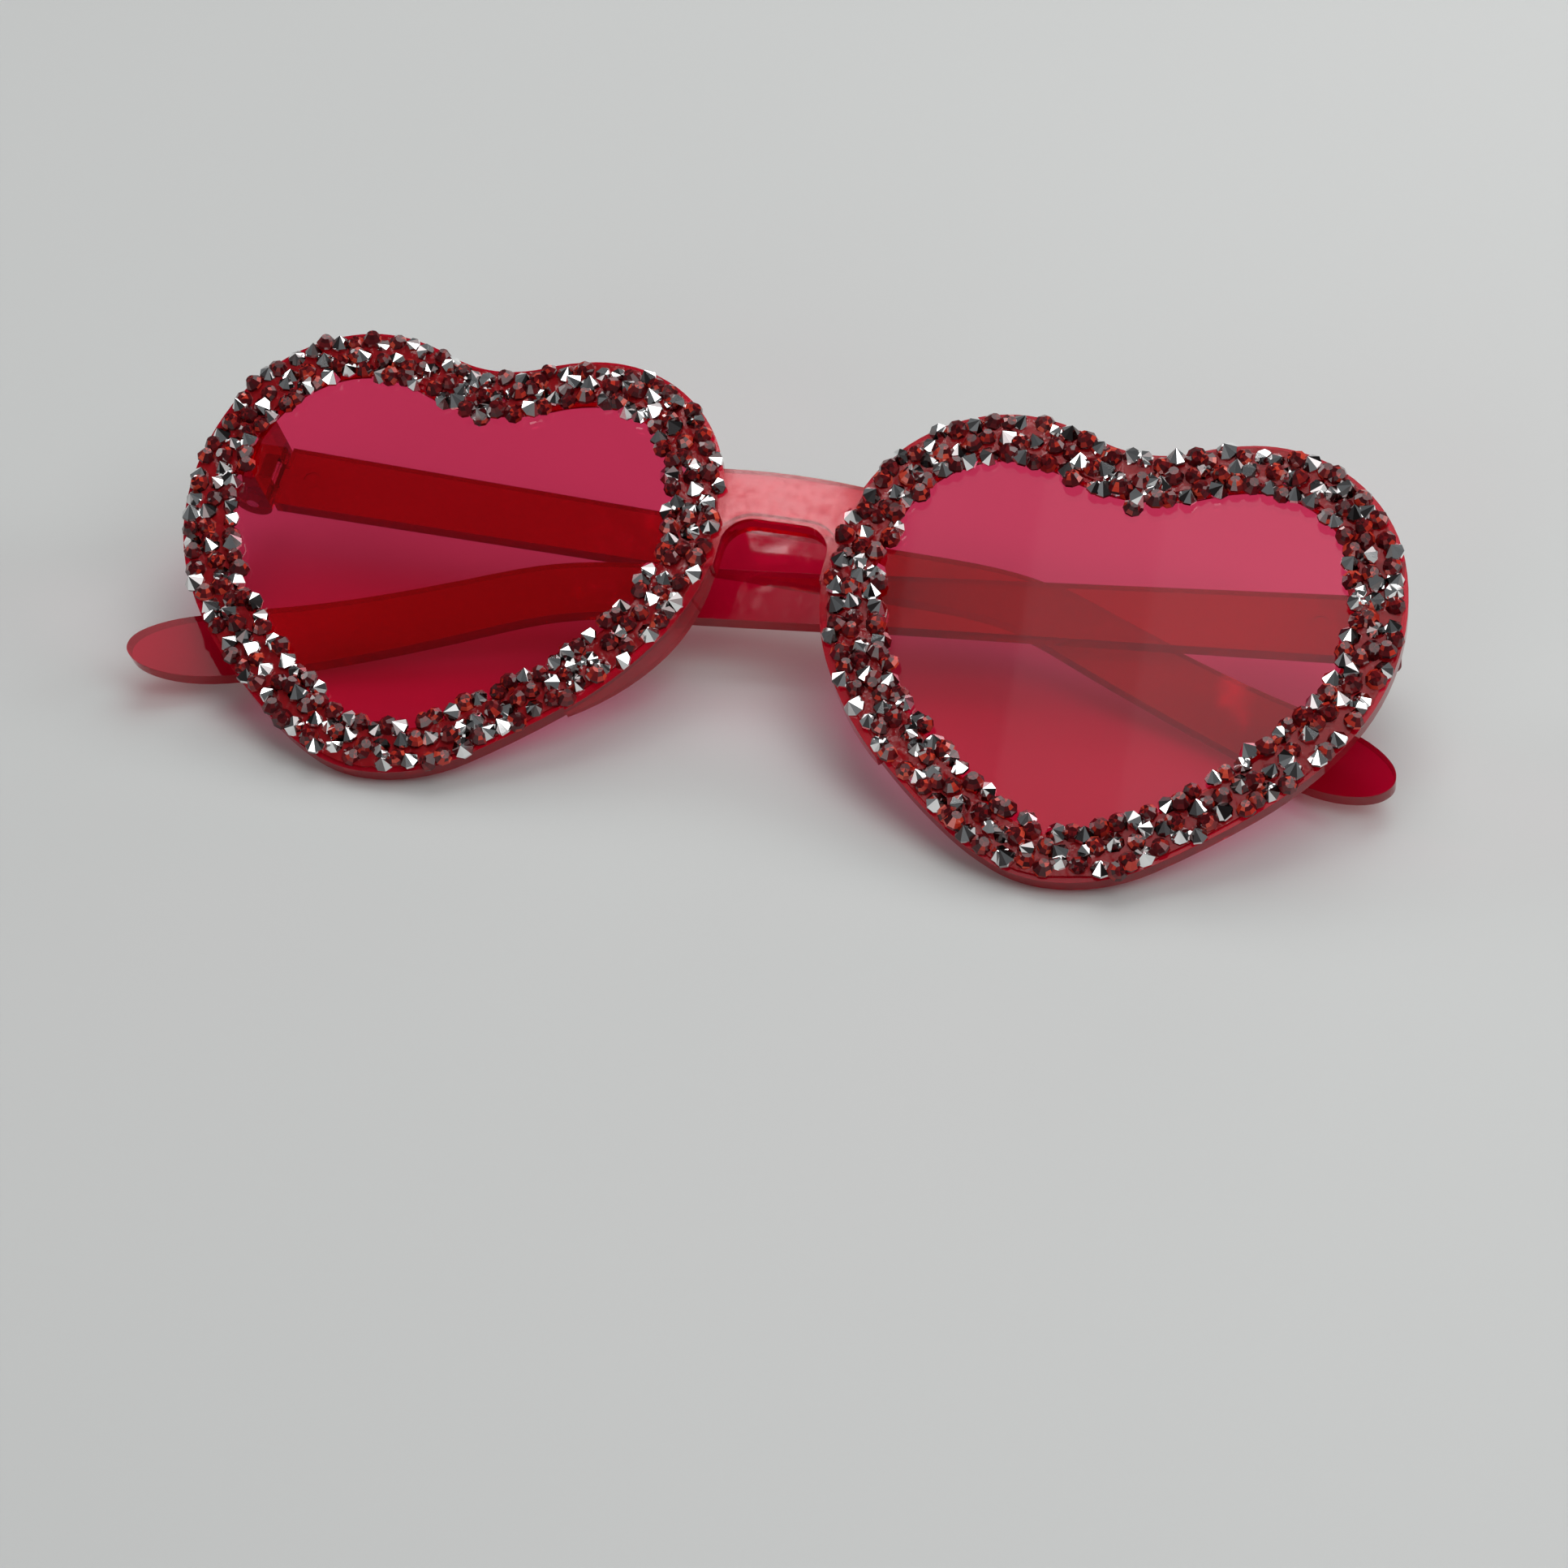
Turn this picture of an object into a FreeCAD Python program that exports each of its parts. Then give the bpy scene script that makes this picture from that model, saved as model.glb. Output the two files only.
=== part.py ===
"""Heart shaped sunglasses with stone-studded rims, folded and lying on their temples.

Every piece is drawn in the wearer's upright frame: X to the viewer's right, Y back from
the front face, Z up from the heart tips. The last step lays the folded pair down on its
hinge ends and temple tips, so that Z is the table's normal.
"""

import FreeCAD
import Part
import math
import os
from FreeCAD import Placement, Rotation, Vector

doc = FreeCAD.newDocument("HeartSunglasses")

# Driving sizes in millimetres and degrees
SIZES = (
    ("heart_width", 67.6), ("heart_height", 59.6), ("nose_gap", 14.4),
    ("rim_depth", 1.9), ("rim_width", 5.7),
    ("lens_thickness", 1.0), ("lens_set_back", 0.4), ("groove_depth", 0.6), ("groove_clearance", 0.1),
    ("bridge_top", 46.6), ("bridge_depth", 1.6), ("bridge_overlap", 4.0),
    ("bridge_crown", 0.7), ("arch_top", 40.6), ("arch_width", 13.2), ("arch_height", 7.0),
    ("arch_corner_radius", 3.6), ("arch_lip_wall", 1.4), ("arch_lip_reach", 2.8),
    ("flange_reach", 4.4), ("flange_wall", 1.7), ("flange_stand_out", 0.4),
    ("glue_thickness", 0.3), ("glue_margin", 0.5),
    ("stone_diameter", 2.0), ("stone_pitch", 1.95), ("first_row_inset", 1.3),
    ("silver_stone_height", 1.45), ("red_stone_height", 0.95), ("red_table_diameter", 1.25),
    ("hinge_inset", 3.8), ("hinge_up", 42.8), ("hinge_back", 10.6),
    ("lug_height", 8.4), ("knuckle_radius", 2.6), ("lug_root", 0.5),
    ("tongue_height", 3.2), ("tongue_clearance", 0.1), ("slot_clearance", 0.35),
    ("screw_diameter", 1.6), ("screw_clearance", 0.05), ("screw_head_diameter", 3.0),
    ("screw_head_height", 0.7), ("driver_slot_width", 0.5), ("driver_slot_depth", 0.35),
    ("temple_thickness", 2.0), ("temple_start", 3.1), ("temple_length", 151.0),
    ("temple_root_height", 8.2), ("temple_mid_height", 6.9), ("temple_tip_height", 8.8), ("tip_taper", 11.5),
    ("temple_taper_end", 60.0), ("hook_start", 92.0), ("hook_radius", 34.0),
    ("tip_curve_start", 117.0), ("tip_curve_radius", 85.0),
    ("pin_mark_diameter", 2.2), ("pin_mark_depth", 0.15), ("pin_mark_along", 7.0),
    ("right_hook_angle", 21.0), ("left_hook_angle", 16.5),
    ("right_droop_angle", 1.0), ("left_droop_angle", 6.4),
    ("right_fold_angle", -0.85), ("left_fold_angle", 1.4),
    ("front_tilt_angle", 23.7), ("outline_tolerance", 0.2), ("cut_overrun", 1.0),
)

sheet = doc.addObject("Spreadsheet::Sheet", "Sizes")
for row, (alias, value) in enumerate(SIZES, start=1):
    sheet.set("A%d" % row, alias.replace("_", " "))
    sheet.set("B%d" % row, str(value))
    sheet.setAlias("B%d" % row, alias)
doc.recompute()


def size(alias):
    """Value of a named cell."""
    return float(sheet.get(alias))


HALF_TURN = 180.0
SIDES = {"right": -1.0, "left": 1.0}

# Half of the heart outline as shares of half the width and of the height, from the tip to the cleft
HALF_HEART_SHARES = ((0.0, 0.0), (0.24, 0.034), (0.45, 0.112), (0.64, 0.202), (0.81, 0.306), (0.94, 0.437),
                     (1.0, 0.585), (0.975, 0.735), (0.875, 0.868), (0.68, 0.966), (0.43, 1.0), (0.2, 0.972),
                     (0.0, 0.945))


def heart_centre():
    """Distance of a heart's middle line from the nose."""
    return size("nose_gap") / 2 + size("heart_width") / 2


def heart_outline():
    """Joints and middles of the tangent arcs round one heart, each with its inward direction."""
    half = [Vector(across * size("heart_width") / 2, up * size("heart_height"), 0)
            for across, up in HALF_HEART_SHARES]
    mirror = [Vector(-point.x, point.y, 0) for point in reversed(half[1:-1])]
    curve = Part.BSplineCurve()
    curve.interpolate(Points=half + mirror, PeriodicFlag=True)
    stations = []
    for arc in curve.toBiArcs(size("outline_tolerance")):
        for parameter in (arc.FirstParameter, (arc.FirstParameter + arc.LastParameter) / 2):
            point = arc.value(parameter)
            stations.append((point, (arc.Center - point).normalize() * arc.Axis.z))
    return stations


HEART = heart_outline()


def inset_points(side, inset):
    """Points round one heart at a distance inside its edge."""
    shift = Vector(SIDES[side] * heart_centre(), 0, 0)
    return [point + inward * inset + shift for point, inward in HEART]


def inset_loop(side, inset):
    """Tangent arcs through those points."""
    points = inset_points(side, inset)
    closed = points + points[:1]
    return [Part.Arc(*closed[joint:joint + 3]) for joint in range(0, len(points), 2)]


def new_body(label):
    body = doc.addObject("PartDesign::Body", label)
    body.Label = label
    return body


def plane_of(body, role):
    return next(item for item in body.Origin.OriginFeatures if item.Role == role)


def sketch_on(body, role, name, geometry, offset=None):
    """Sketch on one of the body's own planes, moved by an offset."""
    sketch = body.newObject("Sketcher::SketchObject", name)
    sketch.AttachmentSupport = [(plane_of(body, role), "")]
    sketch.MapMode = "FlatFace"
    if offset is not None:
        sketch.AttachmentOffset = offset
    for item in geometry:
        sketch.addGeometry(item, False)
    doc.recompute()
    return sketch


def depth_offset(depth):
    """Offset of an XZ sketch to a distance behind the front face."""
    return Placement(Vector(0, 0, -depth), Rotation())


def pad(body, sketch, name, expression, backwards=False, centred=False):
    feature = body.newObject("PartDesign::Pad", name)
    feature.Profile = sketch
    feature.setExpression("Length", expression)
    feature.Reversed = backwards
    feature.Midplane = centred
    doc.recompute()
    return feature


def pocket(body, sketch, name, expression, backwards=False, centred=False):
    """Cut that has to take material away."""
    before = body.Shape.Volume
    feature = body.newObject("PartDesign::Pocket", name)
    feature.Profile = sketch
    feature.setExpression("Length", expression)
    feature.Reversed = backwards
    feature.Midplane = centred
    doc.recompute()
    if not body.Shape.Volume < before:
        raise RuntimeError(name + " cuts nothing")
    return feature


def polygon(points):
    """Closed ring of straight lines."""
    ends = points[1:] + points[:1]
    return [Part.LineSegment(start, end) for start, end in zip(points, ends)]


def rectangle(x_low, y_low, x_high, y_high):
    return polygon([Vector(x_low, y_low, 0), Vector(x_high, y_low, 0),
                    Vector(x_high, y_high, 0), Vector(x_low, y_high, 0)])


def circle(radius, x_middle=0.0, y_middle=0.0):
    return [Part.Circle(Vector(x_middle, y_middle, 0), Vector(0, 0, 1), radius)]


def spline(points):
    curve = Part.BSplineCurve()
    curve.interpolate(Points=points)
    return curve


# Hinge frames: local Z is the screw's axis, leaning in the front plane by the temple's droop
def hinge_frame(side):
    out = heart_centre() + size("heart_width") / 2 - size("hinge_inset")
    place = Vector(SIDES[side] * out, size("hinge_back"), size("hinge_up"))
    return Placement(place, Rotation(Vector(0, 1, 0), -SIDES[side] * size(side + "_droop_angle")))


def hinge_plane(side, along):
    """Plane square to a hinge's axis, at a distance along it."""
    return hinge_frame(side).multiply(Placement(Vector(0, 0, along), Rotation()))


# Front: bridge, two heart rims, nose flanges and hinge lugs in one moulding
front = new_body("front_frame")


def arch_outline(margin):
    """Nose arch from one foot to the other, moved outwards by a margin."""
    half = size("arch_width") / 2 + margin
    radius = size("arch_corner_radius") + margin
    top, foot = size("arch_top") + margin, size("arch_top") - size("arch_height")
    slant = radius * math.sqrt(0.5)
    feet, shoulders, crown, bends = [], [], [], []
    for sign in (-1.0, 1.0):
        feet.append(Vector(sign * half, foot, 0))
        shoulders.append(Vector(sign * half, top - radius, 0))
        crown.append(Vector(sign * (half - radius), top, 0))
        bends.append(Vector(sign * (half - radius + slant), top - radius + slant, 0))
    lines = [Part.LineSegment(feet[0], shoulders[0]), Part.Arc(shoulders[0], bends[0], crown[0]),
             Part.LineSegment(crown[0], crown[1]), Part.Arc(crown[1], bends[1], shoulders[1]),
             Part.LineSegment(shoulders[1], feet[1])]
    return lines, feet


def bridge_outline():
    """Band between the hearts with a slightly arched top and the nose arch below it."""
    half_span, top = size("nose_gap") / 2 + size("bridge_overlap"), size("bridge_top")
    arch, feet = arch_outline(0)
    corners = [Vector(sign * half_span, up, 0) for up in (feet[0].y, top) for sign in (-1.0, 1.0)]
    crown = Part.Arc(corners[2], Vector(0, top + size("bridge_crown"), 0), corners[3])
    return arch + [crown, Part.LineSegment(feet[0], corners[0]), Part.LineSegment(corners[0], corners[2]),
                   Part.LineSegment(feet[1], corners[1]), Part.LineSegment(corners[1], corners[3])]


def arch_lip_outline():
    """Band that thickens the edge of the nose arch."""
    inner, inner_feet = arch_outline(0)
    outer, outer_feet = arch_outline(size("arch_lip_wall"))
    return inner + outer + [Part.LineSegment(*ends) for ends in zip(inner_feet, outer_feet)]


bridge_sketch = sketch_on(front, "XZ_Plane", "BridgeSketch", bridge_outline())
pad(front, bridge_sketch, "Bridge", "Sizes.bridge_depth", backwards=True)
lip_sketch = sketch_on(front, "XZ_Plane", "ArchLipSketch", arch_lip_outline())
pad(front, lip_sketch, "ArchLip", "Sizes.arch_lip_reach", backwards=True)

for side in SIDES:
    rim_sketch = sketch_on(front, "XZ_Plane", side + "RimSketch", inset_loop(side, 0))
    pad(front, rim_sketch, side + "Rim", "Sizes.rim_depth", backwards=True)

# Stretch of the nose side, as shares of the heart's height, that carries the nose flange
FLANGE_HEIGHT_SHARES = (0.26, 0.64)


def flange_outline(side):
    """Strip of wall along the nose side of one rim."""
    low, high = [share * size("heart_height") for share in FLANGE_HEIGHT_SHARES]
    middles = [point for point, inward in HEART[1::2]]
    nose_side = [index for index, middle in enumerate(middles)
                 if low < middle.y < high and middle.x * SIDES[side] < 0]
    stand_out = size("flange_stand_out")
    loops = [inset_loop(side, inset) for inset in (-stand_out, size("flange_wall") - stand_out)]
    outer, inner = [[loop[index] for index in nose_side] for loop in loops]
    return outer + inner + [Part.LineSegment(outer[0].StartPoint, inner[0].StartPoint),
                            Part.LineSegment(outer[-1].EndPoint, inner[-1].EndPoint)]


for side in SIDES:
    flange_sketch = sketch_on(front, "XZ_Plane", side + "FlangeSketch", flange_outline(side))
    pad(front, flange_sketch, side + "Flange", "Sizes.flange_reach", backwards=True)


def run_out_outline():
    """Side view of what is trimmed off the flanges: they swell from the arch and run out below."""
    ends = [end.y for line in flange_outline("left") for end in (line.StartPoint, line.EndPoint)]
    low, high = min(ends), max(ends)
    reach = size("flange_reach")
    far = reach + size("cut_overrun")
    run_out, meet = Vector(size("rim_depth"), low, 0), Vector(size("arch_lip_reach"), high, 0)
    low_far, high_far = Vector(far, low, 0), Vector(far, high, 0)
    return [Part.Arc(run_out, Vector(reach, (low + high) / 2, 0), meet), Part.LineSegment(meet, high_far),
            Part.LineSegment(high_far, low_far), Part.LineSegment(low_far, run_out)]


run_out_sketch = sketch_on(front, "YZ_Plane", "RunOutSketch", run_out_outline())
pocket(front, run_out_sketch, "FlangeRunOut", "Sizes.nose_gap + Sizes.heart_width", centred=True)


def lug_outline():
    """Hinge lug seen along the screw: a straight shank with a round eye."""
    radius = size("knuckle_radius")
    root = size("rim_depth") - size("lug_root") - size("hinge_back")
    left_root, right_root = Vector(-radius, root, 0), Vector(radius, root, 0)
    left_eye, right_eye = Vector(-radius, 0, 0), Vector(radius, 0, 0)
    return [Part.LineSegment(left_root, right_root), Part.LineSegment(right_root, right_eye),
            Part.Arc(right_eye, Vector(0, radius, 0), left_eye), Part.LineSegment(left_eye, left_root)]


for side in SIDES:
    lug_sketch = sketch_on(front, "XY_Plane", side + "LugSketch", lug_outline(),
                           hinge_plane(side, -size("lug_height") / 2))
    pad(front, lug_sketch, side + "Lug", "Sizes.lug_height")

# Cuts in the front: lens openings with their grooves, tongue slots and screw holes
for side in SIDES:
    opening_sketch = sketch_on(front, "XZ_Plane", side + "OpeningSketch",
                               inset_loop(side, size("rim_width")))
    pocket(front, opening_sketch, side + "Opening", "Sizes.rim_depth")
    groove_inset = size("rim_width") - size("groove_depth") - size("groove_clearance")
    groove_sketch = sketch_on(front, "XZ_Plane", side + "GrooveSketch", inset_loop(side, groove_inset),
                              depth_offset(size("lens_set_back") - size("groove_clearance")))
    pocket(front, groove_sketch, side + "Groove", "Sizes.lens_thickness + 2 * Sizes.groove_clearance")

for side in SIDES:
    radius = size("knuckle_radius")
    reach = radius + size("cut_overrun")
    slot_sketch = sketch_on(front, "XY_Plane", side + "SlotSketch",
                            rectangle(-reach, -radius - size("slot_clearance"), reach, reach),
                            hinge_plane(side, 0))
    pocket(front, slot_sketch, side + "Slot", "Sizes.tongue_height + 2 * Sizes.tongue_clearance",
           centred=True)
    hole_sketch = sketch_on(front, "XY_Plane", side + "HoleSketch",
                            circle(size("screw_diameter") / 2 + size("screw_clearance")),
                            hinge_plane(side, 0))
    pocket(front, hole_sketch, side + "Hole", "Sizes.lug_height + 2 * Sizes.cut_overrun", centred=True)

# Lenses: flat tinted sheets whose edges sit in the grooves
lenses = {}
for side in SIDES:
    lens = new_body(side + "_lens")
    lens_sketch = sketch_on(lens, "XZ_Plane", side + "LensSketch",
                            inset_loop(side, size("rim_width") - size("groove_depth")),
                            depth_offset(size("lens_set_back")))
    pad(lens, lens_sketch, side + "LensSheet", "Sizes.lens_thickness", backwards=True)
    lenses[side] = lens

# Glue beds: a thin clear band on each rim's front face, under the stones
glue_beds = {}
glue_insets = (size("glue_margin"), size("rim_width") - size("glue_margin"))
for side in SIDES:
    bed = new_body(side + "_glue_bed")
    edges = [polygon(inset_points(side, inset)) for inset in glue_insets]
    bed_sketch = sketch_on(bed, "XZ_Plane", side + "GlueSketch", edges[0] + edges[1])
    pad(bed, bed_sketch, side + "GlueBand", "Sizes.glue_thickness")
    glue_beds[side] = bed

# Stones: five-sided, in rows that follow the outline, standing on the glue
STONE_SIDES = 5
STONE_ROWS = 3
RED_STEP_SHARES = (0.618, 0.27, 0.5)


def stone_ring(radius, height):
    turn = 2 * HALF_TURN / STONE_SIDES
    corners = [Vector(radius * math.cos(math.radians(turn * step)), -height,
                      radius * math.sin(math.radians(turn * step))) for step in range(STONE_SIDES)]
    return Part.makePolygon(corners + corners[:1])


def silver_stone():
    """Foiled cone with its point to the front."""
    base = stone_ring(size("stone_diameter") / 2, 0)
    apex = Vector(0, -size("silver_stone_height"), 0)
    corners = [vertex.Point for vertex in base.OrderedVertexes]
    faces = [Part.Face(base)]
    for start, end in zip(corners, corners[1:] + corners[:1]):
        faces.append(Part.Face(Part.makePolygon([start, end, apex, start])))
    return Part.Solid(Part.Shell(faces))


def red_stone():
    """Garnet stone with a flat table to the front."""
    rings = [stone_ring(size("stone_diameter") / 2, 0),
             stone_ring(size("red_table_diameter") / 2, size("red_stone_height"))]
    low, high = [[vertex.Point for vertex in ring.OrderedVertexes] for ring in rings]
    faces = [Part.Face(ring) for ring in rings]
    for index in range(STONE_SIDES):
        after = (index + 1) % STONE_SIDES
        corners = [low[index], low[after], high[after], high[index], low[index]]
        faces.append(Part.Face(Part.makePolygon(corners)))
    return Part.Solid(Part.Shell(faces))


def stone_places(side):
    """Middle of every stone on one rim, with its colour's name."""
    pitch = size("stone_pitch")
    places = {"silver": [], "red": []}
    for row in range(STONE_ROWS):
        loop = Part.Wire([arc.toShape() for arc in inset_loop(side, size("first_row_inset") + row * pitch)])
        count = int(loop.Length / pitch)
        for index, middle in enumerate(loop.discretize(Number=count + 1)[:-1]):
            red = (index * RED_STEP_SHARES[0] + row * RED_STEP_SHARES[1]) % 1.0 < RED_STEP_SHARES[2]
            places["red" if red else "silver"].append(Vector(middle.x, -size("glue_thickness"), middle.y))
    return places


stones = {}
masters = {"silver": silver_stone(), "red": red_stone()}
for side in SIDES:
    for colour, middles in stone_places(side).items():
        group = doc.addObject("Part::Feature", side + "_" + colour + "_stones")
        group.Label = side + "_" + colour + "_stones"
        group.Shape = Part.makeCompound([masters[colour].translated(middle) for middle in middles])
        stones[side, colour] = group


# Temples: a tapered bar with a hooked spatula tip, curved in towards the head
def centre_line(along, side):
    """Middle of the bar and its direction, at a distance along it from the hinge."""
    start, radius = size("hook_start"), size("hook_radius")
    angle = math.radians(size(side + "_hook_angle"))
    bent = min(max(along - start, 0) / radius, angle)
    straight = max(along - start - radius * angle, 0)
    level = min(along, start) + radius * math.sin(bent) + straight * math.cos(bent)
    drop = radius * (1 - math.cos(bent)) + straight * math.sin(bent)
    return Vector(level, -drop, 0), Vector(math.cos(bent), -math.sin(bent), 0)


def bar_height(along):
    """Height of the bar: it tapers from the hinge and widens again to the tip."""
    taper_end, widen_start = size("temple_taper_end"), size("hook_start")
    root, middle, tip = size("temple_root_height"), size("temple_mid_height"), size("temple_tip_height")
    if along < taper_end:
        return root + (middle - root) * along / taper_end
    if along < widen_start:
        return middle
    return middle + (tip - middle) * (along - widen_start) / (size("temple_length") - widen_start)


BAR_STEPS = 14
TIP_STEPS = 5


def temple_elevation(side):
    """Side view of one temple: from the hinge to a leaf shaped tip, and back."""
    start, taper = size("temple_start"), size("tip_taper")
    end = size("temple_length") - taper
    stations = [(start + (end - start) * step / BAR_STEPS, 1.0) for step in range(BAR_STEPS + 1)]
    for step in range(1, TIP_STEPS + 1):
        turn = math.radians(HALF_TURN / 2 * step / TIP_STEPS)
        stations.append((end + taper * math.sin(turn), math.cos(turn)))
    upper, lower = [], []
    for along, share in stations:
        middle, ahead = centre_line(along, side)
        up = Vector(-ahead.y, ahead.x, 0) * (share * bar_height(along) / 2)
        for line, point in ((upper, middle + up), (lower, middle - up)):
            line.append(Vector(-SIDES[side] * point.x, point.y, 0))
    return [spline(upper + lower[-2::-1]), Part.LineSegment(lower[0], upper[0])]


def temple_plan(side):
    """Top view of one temple: straight, then curving in towards the head."""
    half, radius = size("temple_thickness") / 2, size("tip_curve_radius")
    start, bend = size("temple_start") - size("cut_overrun"), size("tip_curve_start")
    angle = (size("temple_length") + size("temple_tip_height") - bend) / radius
    flip = -SIDES[side]

    def arc(offset):
        reach = radius + offset
        centre = Vector(flip * bend, -radius, 0)
        return [centre + Vector(flip * reach * math.sin(angle * share), reach * math.cos(angle * share), 0)
                for share in (0.0, 0.5, 1.0)]

    back, fore = arc(half), arc(-half)
    back_root, fore_root = Vector(flip * start, half, 0), Vector(flip * start, -half, 0)
    return [Part.LineSegment(back_root, back[0]), Part.Arc(*back),
            Part.LineSegment(back[-1], fore[-1]), Part.Arc(*fore[::-1]),
            Part.LineSegment(fore[0], fore_root), Part.LineSegment(fore_root, back_root)]


def outside(outline, reach):
    """Everything in a large square but the outline."""
    return rectangle(-reach, -reach, reach, reach) + outline


temples = {}
for side in SIDES:
    flip = -SIDES[side]
    half = size("temple_thickness") / 2
    temple = new_body(side + "_temple")
    plan_sketch = sketch_on(temple, "XY_Plane", side + "PlanSketch", temple_plan(side))
    pad(temple, plan_sketch, side + "Bar", "2 * Sizes.temple_length", centred=True)
    waste_sketch = sketch_on(temple, "XZ_Plane", side + "WasteSketch",
                             outside(temple_elevation(side), 2 * size("temple_length")))
    pocket(temple, waste_sketch, side + "Elevation", "2 * Sizes.temple_length", centred=True)
    shank_end = size("temple_start") + size("cut_overrun")
    shank = rectangle(min(0, flip * shank_end), -half, max(0, flip * shank_end), half)
    shank_sketch = sketch_on(temple, "XY_Plane", side + "ShankSketch", shank)
    pad(temple, shank_sketch, side + "Shank", "Sizes.tongue_height", centred=True)
    eye_sketch = sketch_on(temple, "XY_Plane", side + "EyeSketch", circle(size("knuckle_radius")))
    pad(temple, eye_sketch, side + "Eye", "Sizes.tongue_height", centred=True)
    bore_sketch = sketch_on(temple, "XY_Plane", side + "BoreSketch",
                            circle(size("screw_diameter") / 2 + size("screw_clearance")))
    pocket(temple, bore_sketch, side + "Bore", "Sizes.tongue_height + 2 * Sizes.cut_overrun", centred=True)
    mark_sketch = sketch_on(temple, "XZ_Plane", side + "MarkSketch",
                            circle(size("pin_mark_diameter") / 2, flip * size("pin_mark_along")),
                            depth_offset(-half))
    pocket(temple, mark_sketch, side + "PinMark", "Sizes.pin_mark_depth")
    temples[side] = temple

# Hinge screws: a slotted head on the upper ear and a plain shank through the knuckles
screws = {}
for side in SIDES:
    screw = new_body(side + "_hinge_screw")
    half_lug = size("lug_height") / 2
    shank_sketch = sketch_on(screw, "XY_Plane", side + "ScrewShankSketch", circle(size("screw_diameter") / 2),
                             Placement(Vector(0, 0, -half_lug), Rotation()))
    pad(screw, shank_sketch, side + "ScrewShank", "Sizes.lug_height")
    head_sketch = sketch_on(screw, "XY_Plane", side + "ScrewHeadSketch",
                            circle(size("screw_head_diameter") / 2),
                            Placement(Vector(0, 0, half_lug), Rotation()))
    pad(screw, head_sketch, side + "ScrewHead", "Sizes.screw_head_height")
    reach, half_slot = size("screw_head_diameter"), size("driver_slot_width") / 2
    driver_sketch = sketch_on(screw, "XY_Plane", side + "DriverSketch",
                              rectangle(-reach, -half_slot, reach, half_slot),
                              Placement(Vector(0, 0, half_lug + size("screw_head_height")), Rotation()))
    pocket(screw, driver_sketch, side + "DriverSlot", "Sizes.driver_slot_depth")
    screws[side] = screw

# Lay the folded pair down, with the middle of its footprint at the origin
lie = Placement(Vector(), Rotation(Vector(1, 0, 0), size("front_tilt_angle") - HALF_TURN / 2))
places = {front: lie}
for side in SIDES:
    swing = Placement(Vector(), Rotation(Vector(0, 0, 1), SIDES[side] * size(side + "_fold_angle")))
    hinge = lie.multiply(hinge_frame(side))
    places[lenses[side]] = lie
    places[glue_beds[side]] = lie
    places[stones[side, "silver"]] = lie
    places[stones[side, "red"]] = lie
    places[screws[side]] = hinge
    places[temples[side]] = hinge.multiply(swing)
for piece, place in places.items():
    piece.Placement = place
doc.recompute()
footprint = FreeCAD.BoundBox()
for piece in places:
    footprint.add(piece.Shape.optimalBoundingBox(False))
shift = Placement(-Vector(footprint.Center.x, footprint.Center.y, footprint.ZMin), Rotation())
for piece, place in places.items():
    piece.Placement = shift.multiply(place)
doc.recompute()

# Check every object, then write one file for each piece
for item in doc.Objects:
    if "Invalid" in item.State or "Error" in item.State:
        raise RuntimeError(item.Label + " failed to build")
os.makedirs("parts", exist_ok=True)
for piece in places:
    if piece.Shape.isNull() or not piece.Shape.isValid():
        raise RuntimeError(piece.Label + " is not a valid shape")
    piece.Shape.exportStep(os.path.join("parts", piece.Label + ".step"))
    print(piece.Label, len(piece.Shape.Solids), "solids", round(piece.Shape.Volume, 1), "mm3")
frame_shift = shift.Base
print("moved by", round(frame_shift.x, 3), round(frame_shift.y, 3), round(frame_shift.z, 3))
for side in SIDES:
    hinge = places[screws[side]]
    axis = hinge.Rotation.multVec(Vector(0, 0, 1))
    centre = hinge.Base + frame_shift
    print(side, "hinge at", [round(value, 4) for value in centre],
          "axis", [round(value, 6) for value in axis])
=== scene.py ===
# %% [markdown]
# # Heart shaped sunglasses, folded on a pale table
# The pair is a clear red moulding with two heart rims, flat tinted lenses, two hooked temples and
# more than five hundred small stones glued round the hearts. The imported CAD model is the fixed
# frame. This lesson keeps its sizes, rounds the mouldings, cuts the stones and gives every
# surface its finish.

# %% Load the frame
import math

import bmesh
import bpy
from mathutils import Matrix, Vector
from mathutils.kdtree import KDTree


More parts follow.
